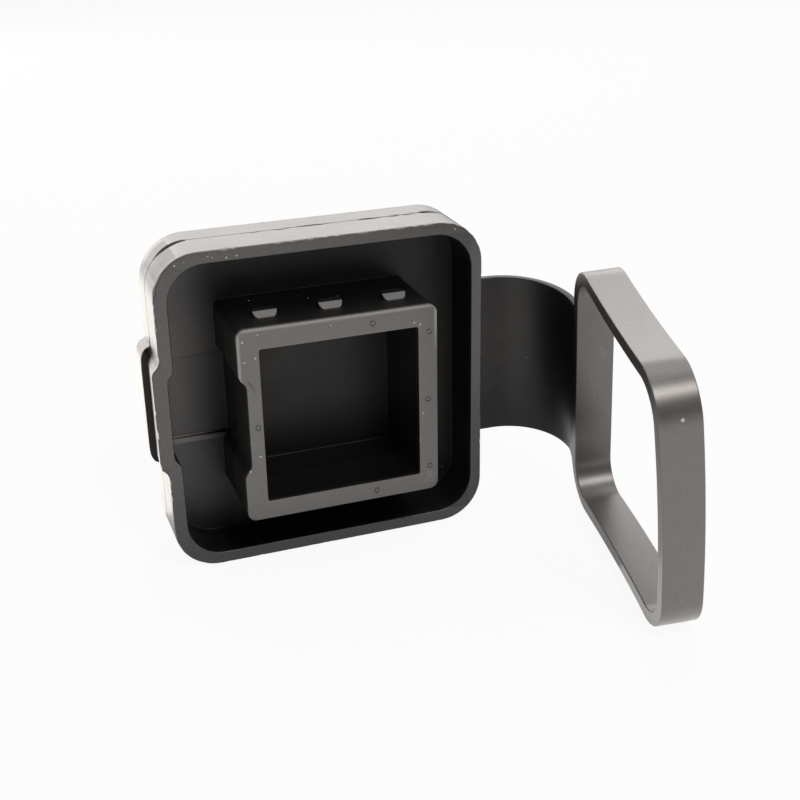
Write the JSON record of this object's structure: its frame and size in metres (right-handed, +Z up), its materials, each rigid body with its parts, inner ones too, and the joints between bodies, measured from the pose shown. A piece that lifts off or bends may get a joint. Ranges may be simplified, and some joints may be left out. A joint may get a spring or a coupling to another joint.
{
  "type": "hitch receiver cover",
  "caption": "Square moulded rubber cap with a hollow plug and an overlapping skirt for a towing receiver, joined by a flat strap to a square retaining ring.",
  "frame": {"origin": "middle of the flat side of the cap that the cover stands on", "axes": "+Z up from the side it stands on, +Y out of the closed face, -Y out of the open side and along the plug, +X from the cap to the strap"},
  "size_m": [0.1202, 0.0983, 0.0836],
  "materials": {
    "black_rubber": "satin moulded black rubber"
  },
  "bodies": {
    "root": {"cover": "black_rubber"}
  },
  "joints": []
}
